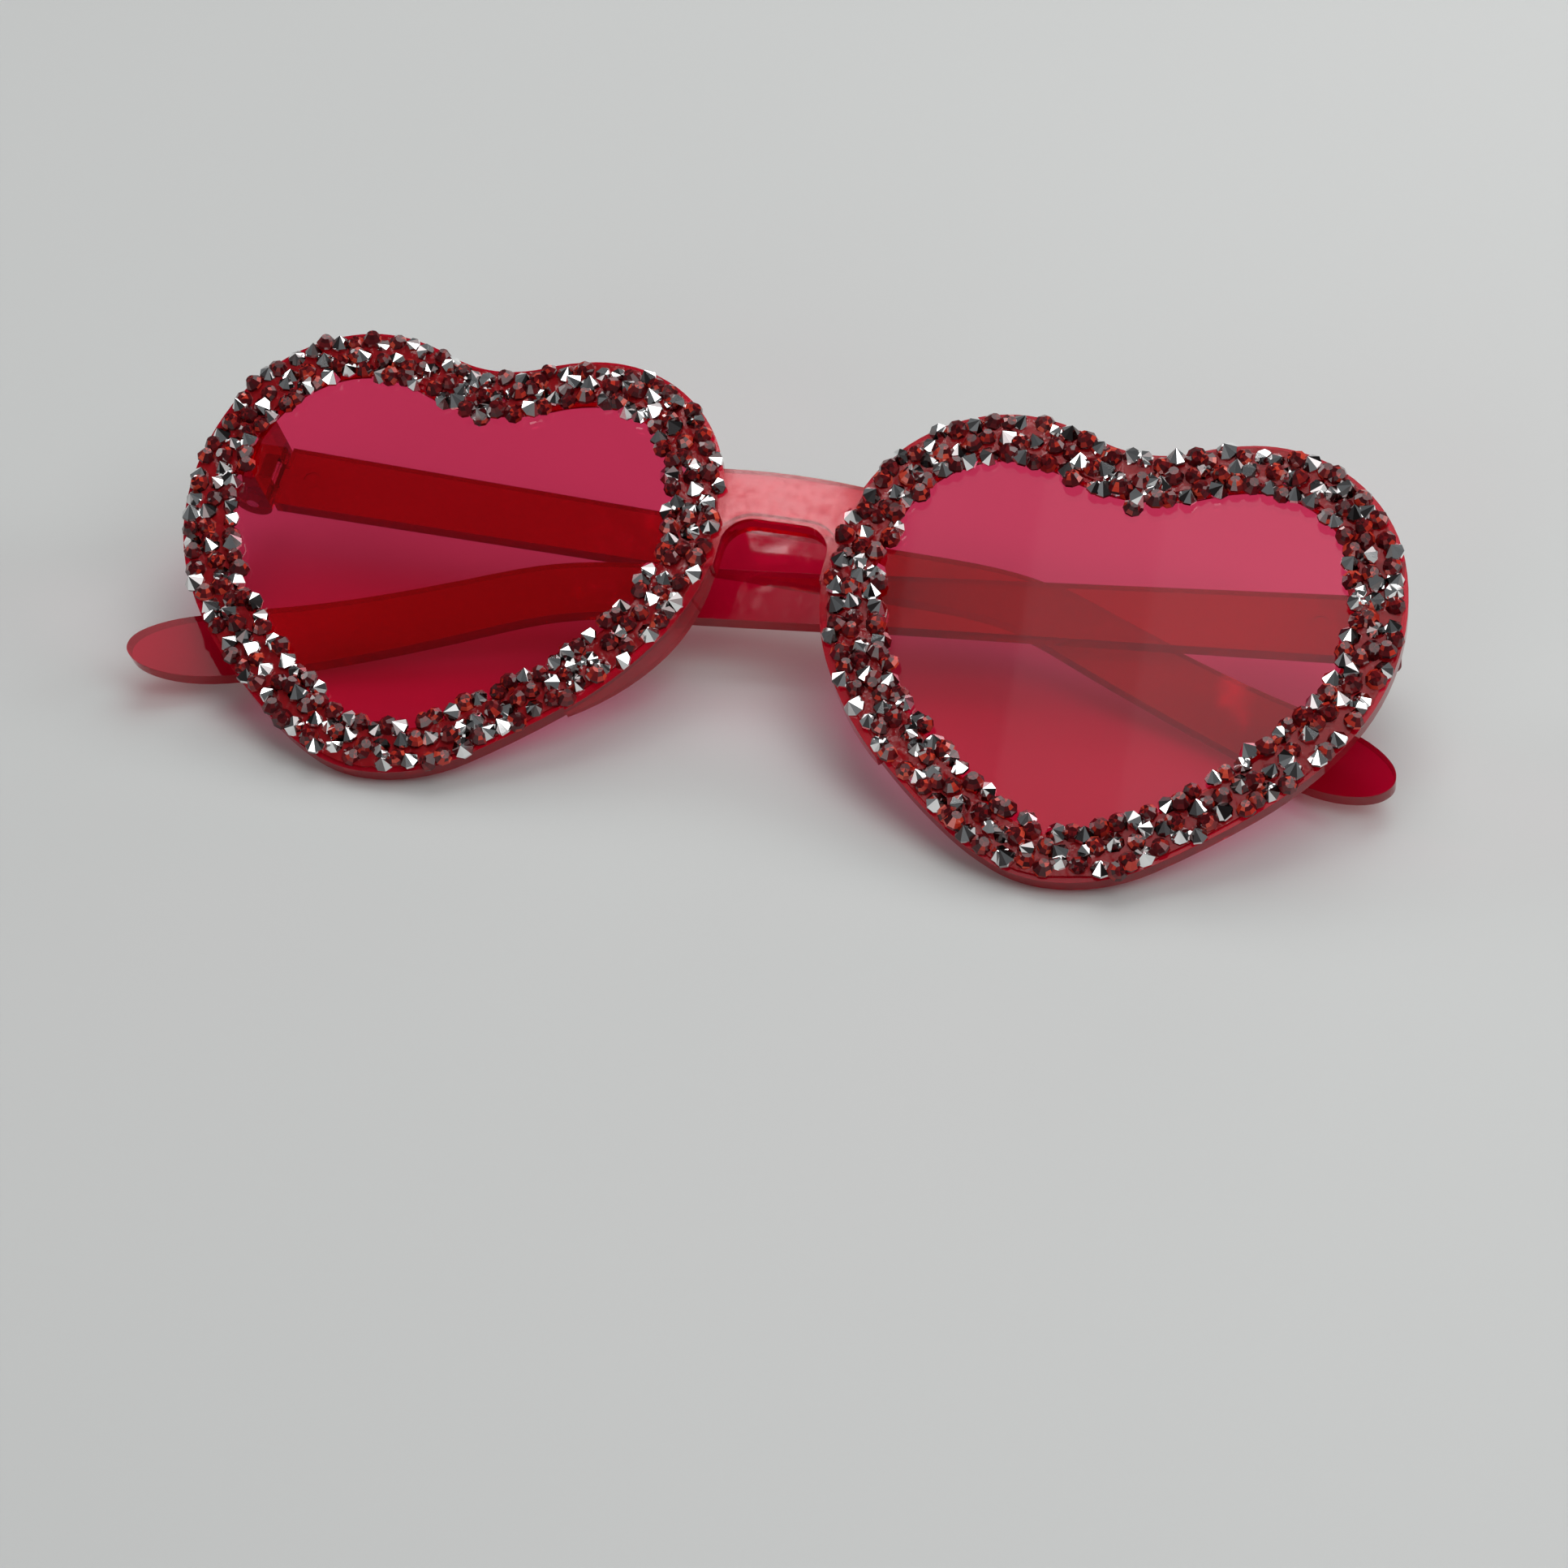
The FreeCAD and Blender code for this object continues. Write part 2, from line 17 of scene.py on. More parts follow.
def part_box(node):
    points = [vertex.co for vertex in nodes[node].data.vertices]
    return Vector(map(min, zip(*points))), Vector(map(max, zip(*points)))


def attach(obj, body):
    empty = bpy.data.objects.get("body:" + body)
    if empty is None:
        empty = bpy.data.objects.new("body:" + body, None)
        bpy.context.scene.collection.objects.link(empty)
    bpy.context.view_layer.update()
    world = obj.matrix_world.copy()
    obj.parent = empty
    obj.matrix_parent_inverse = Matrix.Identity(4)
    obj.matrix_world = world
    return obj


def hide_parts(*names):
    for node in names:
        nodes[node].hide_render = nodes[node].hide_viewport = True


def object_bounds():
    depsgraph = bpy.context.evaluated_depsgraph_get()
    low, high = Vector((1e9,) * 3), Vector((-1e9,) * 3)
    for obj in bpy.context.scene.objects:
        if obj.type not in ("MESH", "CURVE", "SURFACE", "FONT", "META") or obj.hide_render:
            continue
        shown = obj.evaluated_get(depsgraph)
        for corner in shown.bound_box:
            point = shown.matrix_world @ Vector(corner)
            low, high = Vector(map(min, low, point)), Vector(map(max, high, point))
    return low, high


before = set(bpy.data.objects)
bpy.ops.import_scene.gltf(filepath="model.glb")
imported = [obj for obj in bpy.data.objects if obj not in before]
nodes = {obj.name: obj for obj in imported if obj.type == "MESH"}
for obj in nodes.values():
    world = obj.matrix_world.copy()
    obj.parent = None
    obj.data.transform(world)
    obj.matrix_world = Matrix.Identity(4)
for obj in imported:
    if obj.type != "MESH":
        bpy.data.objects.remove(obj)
cad_low, cad_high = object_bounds()
MM = 0.001
SIDES = ("right", "left")
print("frame:", len(nodes), "nodes,", [round(x / MM, 1) for x in cad_high - cad_low], "mm")

# %% [markdown]
# ## The front's own directions
# The folded pair leans back on its temples, so the front is not level. A lens is a flat sheet, and
# its widest faces say which way the front looks. With that direction, places on the front are
# written as across, up the hearts and out of the lenses, and they hold if the lean ever changes.

# %% Front directions
FACES_UP = 0.5


def front_normal():
    """Direction out of the front, from the widest faces of one lens."""
    total = Vector()
    for face in nodes["right_lens"].data.polygons:
        if face.normal.z > FACES_UP:
            total += face.normal * face.area
    return total.normalized()


def lens_middle():
    """Point on the lenses' front face, half way between the two hearts and half way up."""
    points = [vertex.co for side in SIDES for vertex in nodes[side + "_lens"].data.vertices]
    across, up, out = [[point.dot(way) for point in points] for way in (ACROSS, UP, FRONT)]
    return (ACROSS * (min(across) + max(across)) + UP * (min(up) + max(up))) / 2 + FRONT * max(out)


FRONT = front_normal()
ACROSS = Vector((1.0, 0.0, 0.0))
UP = FRONT.cross(ACROSS)
MIDDLE = lens_middle()


def front_direction(across, up, out):
    """Vector from amounts along the front's own directions."""
    return ACROSS * across + UP * up + FRONT * out


print("front faces", [round(x, 3) for x in FRONT], "from", [round(x / MM, 1) for x in MIDDLE])

# %% [markdown]
# ## Camera
# The camera stands in front, a little to the right and well above, and is rolled by a few degrees.
# Its place and turn were worked out from the two hearts, which are flat and alike, so both are
# given in the front's directions. The picture is square, so the sensor's width holds for both sides.

# %% Camera
CAMERA_PLACE = MIDDLE + front_direction(113.15 * MM, -187.08 * MM, 354.69 * MM)
CAMERA_RIGHT = front_direction(0.95463, 0.24777, -0.16520)
CAMERA_UP = front_direction(-0.15016, 0.87956, 0.45148)
CAMERA_LENS_MM = 81.17
SENSOR_MM = 36.0
NEAREST_SEEN = 10 * MM

scene = bpy.context.scene
camera = bpy.data.objects.new("camera", bpy.data.cameras.new("camera"))
scene.collection.objects.link(camera)
camera.data.lens = CAMERA_LENS_MM
camera.data.sensor_width = SENSOR_MM
camera.data.clip_start = NEAREST_SEEN
turn = Matrix((CAMERA_RIGHT, CAMERA_UP, CAMERA_RIGHT.cross(CAMERA_UP))).transposed()
camera.matrix_world = Matrix.Translation(CAMERA_PLACE) @ turn.to_4x4()
scene.camera = camera
print("camera looks along", [round(x, 3) for x in -turn.col[2]])

# %% [markdown]
# ## A shared surface effect
# Moulded plastic is never quite even: it has a slow waviness from the mould and fine rub marks.
# The plastics, the glue and the screws use the same effect in other amounts, so it is one node
# group that gives a roughness and a height, and each material sets its own values.

# %% Moulded surface group
RUB_DETAIL = 4.0
UNRUBBED_BELOW = 0.4
RUBBED_ABOVE = 0.75


def group_socket(group, name, kind, value=None, output=False):
    """Adds a named input, or an output, to a node group."""
    socket = group.interface.new_socket(
        name, in_out="OUTPUT" if output else "INPUT", socket_type="NodeSocket" + kind)
    if value is not None:
        socket.default_value = value


def moulded_surface():
    """Group that turns object coordinates into a roughness and a wavy height."""
    group = bpy.data.node_groups.new("moulded_surface", "ShaderNodeTree")
    for name, value in (("Wave Scale", 90.0), ("Rub Scale", 900.0), ("Smooth", 0.06), ("Rubbed", 0.2)):
        group_socket(group, name, "Float", value)
    for name in ("Roughness", "Height"):
        group_socket(group, name, "Float", output=True)
    new, link = group.nodes.new, group.links.new
    given, made = new("NodeGroupInput"), new("NodeGroupOutput")
    place = new("ShaderNodeTexCoord")
    wave, rub = new("ShaderNodeTexNoise"), new("ShaderNodeTexNoise")
    rub.inputs["Detail"].default_value = RUB_DETAIL
    spread = new("ShaderNodeMapRange")
    spread.inputs["From Min"].default_value = UNRUBBED_BELOW
    spread.inputs["From Max"].default_value = RUBBED_ABOVE
    for texture, scale in ((wave, "Wave Scale"), (rub, "Rub Scale")):
        link(place.outputs["Object"], texture.inputs["Vector"])
        link(given.outputs[scale], texture.inputs["Scale"])
    link(rub.outputs["Fac"], spread.inputs["Value"])
    link(given.outputs["Smooth"], spread.inputs["To Min"])
    link(given.outputs["Rubbed"], spread.inputs["To Max"])
    link(spread.outputs["Result"], made.inputs["Roughness"])
    link(wave.outputs["Fac"], made.inputs["Height"])
    return group


SURFACE = moulded_surface()
print("group", SURFACE.name, "has", len(SURFACE.nodes), "nodes")

# %% [markdown]
# ## Materials
# Each finish is one Principled shader. Small helpers lay a colour ramp, an uneven dye or the
# moulded surface under it. Clear plastic would throw a black shadow, because a render doesn't
# follow bent light back to a lamp, so it is made plainly transparent to shadow and bounced rays.

# %% Material helpers


def new_material(name, **sockets):
    """Principled material with plain values on its sockets, by their names."""
    material = bpy.data.materials.new(name)
    material.use_nodes = True
    shader = material.node_tree.nodes["Principled BSDF"]
    for socket, value in sockets.items():
        shader.inputs[socket.replace("_", " ")].default_value = value
    return material, shader


def mould(material, shader, wave_height, **values):
    """Puts the shared moulded surface under a material's shader."""
    tree = material.node_tree
    surface = tree.nodes.new("ShaderNodeGroup")
    surface.node_tree = SURFACE
    for name, value in values.items():
        surface.inputs[name.replace("_", " ")].default_value = value
    bump = tree.nodes.new("ShaderNodeBump")
    bump.inputs["Distance"].default_value = wave_height
    bump.inputs["Strength"].default_value = 1.0
    tree.links.new(surface.outputs["Roughness"], shader.inputs["Roughness"])
    tree.links.new(surface.outputs["Height"], bump.inputs["Height"])
    tree.links.new(bump.outputs["Normal"], shader.inputs["Normal"])


def colour_ramp(tree, factor, stops):
    """Colour that steps through shades at given positions of a factor socket."""
    ramp = tree.nodes.new("ShaderNodeValToRGB")
    elements = ramp.color_ramp.elements
    while len(elements) < len(stops):
        elements.new(1.0)
    for element, (position, colour) in zip(elements, stops):
        element.position = position
        element.color = (*colour, 1.0)
    tree.links.new(factor, ramp.inputs["Fac"])
    return ramp.outputs["Color"]


def cloudy(material, scale, dark, light):
    """Uneven dye: a colour that drifts between two shades with slow noise in object coordinates."""
    tree = material.node_tree
    place, noise = tree.nodes.new("ShaderNodeTexCoord"), tree.nodes.new("ShaderNodeTexNoise")
    noise.inputs["Scale"].default_value = scale
    noise.inputs["Detail"].default_value = 1.0
    tree.links.new(place.outputs["Object"], noise.inputs["Vector"])
    return colour_ramp(tree, noise.outputs["Fac"], ((0.0, dark), (1.0, light)))


def dye(material, shader, colour):
    """Feeds a colour socket to the base colour."""
    material.node_tree.links.new(colour, shader.inputs["Base Color"])


def pass_light(material, shader, tint):
    """Lets lamps and bounced light through a clear plastic, so that it throws coloured light."""
    tree = material.node_tree
    path, clear = tree.nodes.new("ShaderNodeLightPath"), tree.nodes.new("ShaderNodeBsdfTransparent")
    either, mix = tree.nodes.new("ShaderNodeMath"), tree.nodes.new("ShaderNodeMixShader")
    either.operation = "MAXIMUM"
    clear.inputs["Color"].default_value = (*tint, 1.0)
    for ray, socket in zip(("Is Shadow Ray", "Is Diffuse Ray"), either.inputs):
        tree.links.new(path.outputs[ray], socket)
    share, seen, passed = mix.inputs
    tree.links.new(either.outputs["Value"], share)
    tree.links.new(shader.outputs["BSDF"], seen)
    tree.links.new(clear.outputs["BSDF"], passed)
    tree.links.new(mix.outputs["Shader"], tree.nodes["Material Output"].inputs["Surface"])


def socket_called(sockets, identifier):
    """Socket by its identifier, for nodes whose sockets share a name."""
    return next(socket for socket in sockets if socket.identifier == identifier)


print("material helpers ready")

# %% [markdown]
# ## Clear red plastic, lens tint and glue
# The front and the temples are one red plastic, and the temples are a shade darker. Dyed plastic
# looks deeper at its edges, where light has come through more of it. Volume absorption could show
# that, but it is slow and noisy, so each face of a moulding holds a number that says how far it
# turns from the front, and the colour follows it. The lenses are a thin pink-red sheet, and the
# glue is clear over red.

# %% Clear red plastic, lens tint and glue
EDGE_WALL = "edge_wall"
ACRYLIC_IOR = 1.49
GLUE_IOR = 1.47
DYE_SCALE = 40.0


def red_plastic(name, wave_height, dark, light, deep):
    """Clear red moulded plastic, deeper on its edges, where light passes through more of it."""
    material, shader = new_material(name, IOR=ACRYLIC_IOR, Transmission_Weight=0.72)
    tree = material.node_tree
    wall, mix = tree.nodes.new("ShaderNodeAttribute"), tree.nodes.new("ShaderNodeMix")
    wall.attribute_name = EDGE_WALL
    mix.data_type = "RGBA"
    socket_called(mix.inputs, "B_Color").default_value = (*deep, 1.0)
    tree.links.new(wall.outputs["Fac"], socket_called(mix.inputs, "Factor_Float"))
    tree.links.new(cloudy(material, DYE_SCALE, dark, light), socket_called(mix.inputs, "A_Color"))
    dye(material, shader, socket_called(mix.outputs, "Result_Color"))
    mould(material, shader, wave_height, Smooth=0.05, Rubbed=0.12)
    pass_light(material, shader, (0.6, 0.05, 0.15))
    return material


plastic = red_plastic("frame_plastic", wave_height=0.04 * MM, dark=(0.8, 0.004, 0.03),
                      light=(0.88, 0.009, 0.05), deep=(0.56, 0.001, 0.02))
temple_plastic = red_plastic("temple_plastic", wave_height=0.15 * MM, dark=(0.62, 0.002, 0.033),
                             light=(0.7, 0.004, 0.048), deep=(0.46, 0.001, 0.018))

tint, shader = new_material("lens_tint", IOR=ACRYLIC_IOR, Transmission_Weight=1.0)
dye(tint, shader, cloudy(tint, scale=25.0, dark=(0.86, 0.05, 0.145), light=(0.9, 0.062, 0.165)))
mould(tint, shader, 0.004 * MM, Wave_Scale=25.0, Smooth=0.02, Rubbed=0.06)
pass_light(tint, shader, (0.93, 0.31, 0.52))

glue, shader = new_material("clear_glue", IOR=GLUE_IOR, Transmission_Weight=0.5)
dye(glue, shader, cloudy(glue, scale=400.0, dark=(0.45, 0.008, 0.016), light=(0.6, 0.02, 0.03)))
mould(glue, shader, 0.3 * MM, Wave_Scale=500.0, Smooth=0.1, Rubbed=0.3)
print("plastics:", plastic.name, temple_plastic.name, tint.name, glue.name)

# %% [markdown]
# ## Stones and screws
# The silver stones have a mirror foil, and the garnet ones are dark red glass with a few facets
# that flash orange. Light bounces inside a real stone, which takes many samples to follow. Here
# the reflections and glints are painted into the colour: every stone and every facet carries a
# number of its own, and a ramp turns their mix into a painted reflection, from near black to
# white on the foil, and into dark red with painted orange glints on the garnets.

# %% Stones and screws
STONE_GLINT = "painted_stone_glint"
FACET_GLINT = "painted_facet_glint"


def painted_glint_level(material, facet_share):
    """Number between 0 and 1 that mixes the painted glint of a facet with that of its stone."""
    tree = material.node_tree
    mix = tree.nodes.new("ShaderNodeMix")
    mix.inputs["Factor"].default_value = facet_share
    for socket, name in (("A", STONE_GLINT), ("B", FACET_GLINT)):
        attribute = tree.nodes.new("ShaderNodeAttribute")
        attribute.attribute_name = name
        tree.links.new(attribute.outputs["Fac"], mix.inputs[socket])
    return mix.outputs["Result"]


# Painted reflections on the foil: a low number gives near black, as if the facet mirrored something dark, a
# high one white, as if it mirrored a lamp
FOIL_PAINTED_REFLECTIONS = ((0.12, (0.09, 0.07, 0.07)), (0.35, (0.36, 0.33, 0.33)), (0.48, (0.8, 0.8, 0.8)),
               (0.6, (1.0, 1.0, 1.0)))
# The garnets' own dark red in the lower stops, and painted orange glints in the two top stops
GARNET_TONES_AND_GLINTS = ((0.1, (0.05, 0.003, 0.005)), (0.45, (0.1, 0.005, 0.008)), (0.7, (0.22, 0.01, 0.013)),
                 (0.82, (0.62, 0.035, 0.018)), (0.95, (0.9, 0.11, 0.06)))

foil, shader = new_material("silver_foil", Metallic=1.0, Roughness=0.07)
dye(foil, shader, colour_ramp(foil.node_tree, painted_glint_level(foil, facet_share=0.85), FOIL_PAINTED_REFLECTIONS))

garnet, shader = new_material("garnet_glass", Roughness=0.06, IOR=1.5, Transmission_Weight=0.1)
dye(garnet, shader, colour_ramp(garnet.node_tree, painted_glint_level(garnet, facet_share=0.8), GARNET_TONES_AND_GLINTS))

steel, shader = new_material("screw_steel", Metallic=1.0)
dye(steel, shader, cloudy(steel, scale=3000.0, dark=(0.5, 0.5, 0.52), light=(0.7, 0.7, 0.71)))
mould(steel, shader, 0.02 * MM, Wave_Scale=2000.0, Smooth=0.22, Rubbed=0.4)
print("hard finishes:", foil.name, garnet.name, steel.name)

# %% [markdown]
# ## Rounded mouldings
# A mould leaves a small radius on every edge, and those edges carry the bright lines of light.
# The CAD pieces have square edges, so a copy of each is merged, its flat facets are joined, and a
# Bevel modifier rounds the edges that turn sharply. Weighted normals keep the flat faces flat in
# the light. The copy stands for the CAD piece.

# %% Rounding helpers
WELD_DISTANCE = 0.001 * MM
FLAT_WITHIN = math.radians(0.5)
SHARP_FROM = math.radians(40.0)
BEVEL_SEGMENTS = 3
FLAT_WEIGHT = 50


def welded_copy(node, name):
    """Copy of a CAD node as a joined mesh, with its flat triangles made one face."""
    mesh = bpy.data.meshes.new(name)
    work = bmesh.new()
    work.from_mesh(nodes[node].data)
    bmesh.ops.remove_doubles(work, verts=work.verts, dist=WELD_DISTANCE)
    bmesh.ops.dissolve_limit(work, angle_limit=FLAT_WITHIN, verts=work.verts, edges=work.edges)
    work.to_mesh(mesh)
    work.free()
    mesh.shade_smooth()
    piece = bpy.data.objects.new(name, mesh)
    scene.collection.objects.link(piece)
    return piece


def bake_modifiers(piece):
    """Plain mesh of a piece as its modifiers leave it."""
    evaluated = piece.evaluated_get(bpy.context.evaluated_depsgraph_get())
    mesh = bpy.data.meshes.new_from_object(evaluated)
    piece.modifiers.clear()
    piece.data = mesh
    return mesh


def rounded(node, name, radius, material, body):
    """Piece with rounded edges that stands for a CAD node."""
    piece = welded_copy(node, name)
    bevel = piece.modifiers.new("edge radius", "BEVEL")
    bevel.width = radius
    bevel.segments = BEVEL_SEGMENTS
    bevel.limit_method = "ANGLE"
    bevel.angle_limit = SHARP_FROM
    flat = piece.modifiers.new("flat faces stay flat", "WEIGHTED_NORMAL")
    flat.mode = "FACE_AREA"
    flat.weight = FLAT_WEIGHT
    mesh = bake_modifiers(piece)
    walls = mesh.attributes.new(EDGE_WALL, "FLOAT", "FACE")
    for face in mesh.polygons:
        walls.data[face.index].value = 1.0 - abs(face.normal.dot(FRONT))
    mesh.materials.clear()
    mesh.materials.append(material)
    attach(piece, body)
    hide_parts(node)
    print(name, len(mesh.polygons), "faces")


print("edges that turn by", round(math.degrees(SHARP_FROM)), "degrees or more are rounded")

# %% Front and temples
FRONT_RADIUS = 0.35 * MM
TEMPLE_RADIUS = 0.65 * MM

rounded("front_frame", "moulded_front", FRONT_RADIUS, plastic, "front")
for side in SIDES:
    rounded(side + "_temple", side + "_moulded_temple", TEMPLE_RADIUS, temple_plastic,
            side + "_temple")

# %% [markdown]
# ## Pieces kept from the frame
# The lenses, the glue beds and the hinge screws already have their real form in the CAD model. A
# copy would add nothing, so the CAD meshes stay and only get their finish.

# %% Pieces kept from the frame
KEPT = (("_lens", tint), ("_glue_bed", glue), ("_hinge_screw", steel))
for side in SIDES:
    for node, material in KEPT:
        kept = nodes[side + node]
        kept.data.materials.clear()
        kept.data.materials.append(material)
print("kept:", [side + node for side in SIDES for node, material in KEPT])

# %% [markdown]
# ## Where the stones stand
# The stones are set by hand in glue, in about three rows that crowd over the lens edge, with a
# small pile below each heart's cleft. The CAD model has one upright stone for each real one, so
# the middle of each foot becomes a point. The points of the inner rows are moved inwards a little,
# and a few more are added for the piles. At the top and at the hearts' points they keep far enough
# inside the CAD model's box for a leaning stone to fit.

# %% Stone places
# How far the innermost row moves inwards, and the width of the band over which that fades
ROW_SPREAD = 0.9 * MM
BAND_WIDTH = 3.9 * MM
# Room that a leaning stone needs round its foot at the hearts' points, and above it at the top
STONE_ROOM = 1.9 * MM
STONE_RISE = 1.78 * MM
FOOT_DEPTH = 0.1 * MM
CLEFT_REACH = 1.0 * MM
# Stones piled below each cleft, across and up from the top of the lens there, in millimetres
CLEFT_STONES = {"silver": ((-2.2, 1.0), (1.3, -0.5), (3.6, 1.6)),
                "red": ((0.0, 1.0), (2.3, 1.0), (-1.1, -0.4), (0.1, -1.5), (-3.8, 1.6))}


def stone_feet(node):
    """Middle of the foot of each stone of a CAD node, sorted by place to a hundredth of a millimetre."""
    work = bmesh.new()
    work.from_mesh(nodes[node].data)
    bmesh.ops.remove_doubles(work, verts=work.verts, dist=WELD_DISTANCE)
    waiting, feet = set(work.verts), []
    while waiting:
        island, edge = set(), [waiting.pop()]
        while edge:
            vertex = edge.pop()
            island.add(vertex)
            near = {link.other_vert(vertex) for link in vertex.link_edges} & waiting
            waiting -= near
            edge.extend(near)
        lowest = min(vertex.co.dot(FRONT) for vertex in island)
        foot = [vertex.co for vertex in island if vertex.co.dot(FRONT) < lowest + FOOT_DEPTH]
        # Added up in a fixed order, so that every run gives the same sum
        feet.append(sum(sorted(foot, key=tuple), Vector()) / len(foot))
    work.free()
    return sorted(feet, key=lambda foot: tuple(round(x, 5) for x in foot))


def spread_rows(feet, rim, heart):
    """Feet moved towards the middle of the heart, most of all those next to the lens."""
    nearest = KDTree(len(rim))
    for index, point in enumerate(rim):
        nearest.insert(point, index)
    nearest.balance()
    moved = []
    for foot in feet:
        inwards = heart - foot
        inwards -= FRONT * inwards.dot(FRONT)
        point, index, distance = nearest.find(foot)
        row_share = max(0.0, 1.0 - distance / BAND_WIDTH)
        moved.append(foot + inwards.normalized() * (ROW_SPREAD * row_share))
    return moved


def cleft_feet(colour, rim, heart):
    """Feet of the stones piled below a heart's cleft, level with the lens' front face."""
    middle = [point for point in rim if abs(point.x - heart.x) < CLEFT_REACH]
    cleft = max(middle, key=lambda point: point.dot(UP))
    cleft = cleft + FRONT * (MIDDLE - cleft).dot(FRONT)
    return [cleft + front_direction(across * MM, up * MM, 0.0) for across, up in CLEFT_STONES[colour]]


def stone_points(side, colour):
    """Mesh with one vertex for each stone of one colour on one rim."""
    rim = [vertex.co for vertex in nodes[side + "_lens"].data.vertices]
    low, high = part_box(side + "_lens")
    heart = (low + high) / 2
    feet = spread_rows(stone_feet(side + "_" + colour + "_stones"), rim, heart)
    feet += cleft_feet(colour, rim, heart)
    for foot in feet:
        foot.y = max(foot.y, cad_low.y + STONE_ROOM)
        foot.z = min(foot.z, cad_high.z - STONE_RISE)
    mesh = bpy.data.meshes.new(side + "_" + colour + "_points")
    mesh.from_pydata(feet, [], [])
    return mesh


print("stones at each cleft:", sum(len(places) for places in CLEFT_STONES.values()))

# %% [markdown]
# ## One cut stone
# Each stone is a small cut cone over a short girdle. The silver ones show a point, and the garnet
# ones a flat table. Hundreds of them share one shape, so Geometry Nodes make it once, from a cone
# and a cylinder, and mark each facet with how bright its painted glint may be.

# %% Node helpers
RANDOM_ENDINGS = {"FLOAT_VECTOR": "", "FLOAT": "_001"}


def feed(tree, socket, value):
    """Sets an input to a plain value, or links it to another node's output."""
    if isinstance(value, bpy.types.NodeSocket):
        tree.links.new(value, socket)
    else:
        socket.default_value = value


def maths(tree, operation, first, second):
    """Result of a sum or comparison of two values."""
    node = tree.nodes.new("ShaderNodeMath")
    node.operation = operation
    for socket, value in zip(node.inputs, (first, second)):
        feed(tree, socket, value)
    return node.outputs["Value"]


def triple(tree, x, y, z):
    """Vector from three values."""
    node = tree.nodes.new("ShaderNodeCombineXYZ")
    for socket, value in zip(node.inputs, (x, y, z)):
        feed(tree, socket, value)
    return node.outputs["Vector"]


def drawn(tree, given, kind, low, high, draw):
    """Random number or vector for each element, from the tree's seed and the number of the draw."""
    node = tree.nodes.new("FunctionNodeRandomValue")
    node.data_type = kind
    ending = RANDOM_ENDINGS[kind]
    for limit, value in (("Min", low), ("Max", high)):
        feed(tree, socket_called(node.inputs, limit + ending), value)
    feed(tree, node.inputs["Seed"], maths(tree, "ADD", given.outputs["Seed"], draw))
    return socket_called(node.outputs, "Value" + ending)


def stored(tree, geometry, domain, name, value):
    """Geometry with a number stored under a name on its points or faces."""
    node = tree.nodes.new("GeometryNodeStoreNamedAttribute")
    node.data_type = "FLOAT"
    node.domain = domain
    node.inputs["Name"].default_value = name
    feed(tree, node.inputs["Geometry"], geometry)
    feed(tree, node.inputs["Value"], value)
    return node.outputs["Geometry"]


print("node helpers ready")

# %% One cut stone
# A facet that faces straight out, a table, gets a weaker painted glint than a sloped one
TABLE_FACES_UP = 0.9
TABLE_DIMMED_BY = 0.12


def raised(tree, geometry, height):
    """Geometry moved up by a height."""
    node = tree.nodes.new("GeometryNodeTransform")
    feed(tree, node.inputs["Geometry"], geometry)
    feed(tree, node.inputs["Translation"], triple(tree, 0.0, 0.0, height))
    return node.outputs["Geometry"]


def cut_stone(tree, given):
    """One stone that stands on the origin: a crown over a short girdle."""
    new, link = tree.nodes.new, tree.links.new
    crown, girdle = new("GeometryNodeMeshCone"), new("GeometryNodeMeshCylinder")
    crown.fill_type = "TRIANGLE_FAN"
    radius = maths(tree, "MULTIPLY", given.outputs["Diameter"], 0.5)
    for part, socket, value in ((crown, "Vertices", given.outputs["Facets"]),
                                (crown, "Side Segments", given.outputs["Rings"]),
                                (crown, "Radius Top", given.outputs["Table"]),
                                (crown, "Radius Bottom", radius),
                                (crown, "Depth", given.outputs["Height"]),
                                (girdle, "Vertices", given.outputs["Facets"]),
                                (girdle, "Radius", radius),
                                (girdle, "Depth", given.outputs["Girdle"])):
        link(value, part.inputs[socket])
    half_girdle = maths(tree, "MULTIPLY", given.outputs["Girdle"], 0.5)
    stone = new("GeometryNodeJoinGeometry")
    link(raised(tree, girdle.outputs["Mesh"], half_girdle), stone.inputs["Geometry"])
    link(raised(tree, crown.outputs["Mesh"], given.outputs["Girdle"]), stone.inputs["Geometry"])
    return stone.outputs["Geometry"]


def marked_facets(tree, stone):
    """Stone whose facets hold how bright their painted glint may be: full on a slope, less on the table."""
    facing = tree.nodes.new("ShaderNodeSeparateXYZ")
    feed(tree, facing.inputs["Vector"], tree.nodes.new("GeometryNodeInputNormal").outputs["Normal"])
    on_table = maths(tree, "GREATER_THAN", facing.outputs["Z"], TABLE_FACES_UP)
    brightest = maths(tree, "SUBTRACT", 1.0, maths(tree, "MULTIPLY", on_table, TABLE_DIMMED_BY))
    return stored(tree, stone, "FACE", FACET_GLINT, brightest)


print("stone helpers ready")

# %% [markdown]
# ## The stone tree
# Glued stones shift, lean and turn, and no two shine alike. Placing hundreds by hand would be slow
# to change, so the tree sets one stone on every point, with a shift, a painted glint, a lean and a
# size from numbered draws of a fixed seed, and then gives every facet a painted glint of its own.

# %% Stone tree
SHIFT_DRAW, GLINT_DRAW, LEAN_DRAW, SIZE_DRAW, FACET_DRAW = range(5)
SMALLEST, LARGEST = 0.95, 1.15
STONE_SIZES = (("Diameter", 2.0 * MM), ("Height", 1.4 * MM), ("Table", 0.0), ("Girdle", 0.3 * MM),
               ("Shift", 0.6 * MM), ("Lean", 0.45), ("Sink", 0.2 * MM))
STONE_COUNTS = (("Facets", 8), ("Rings", 1), ("Seed", 1))


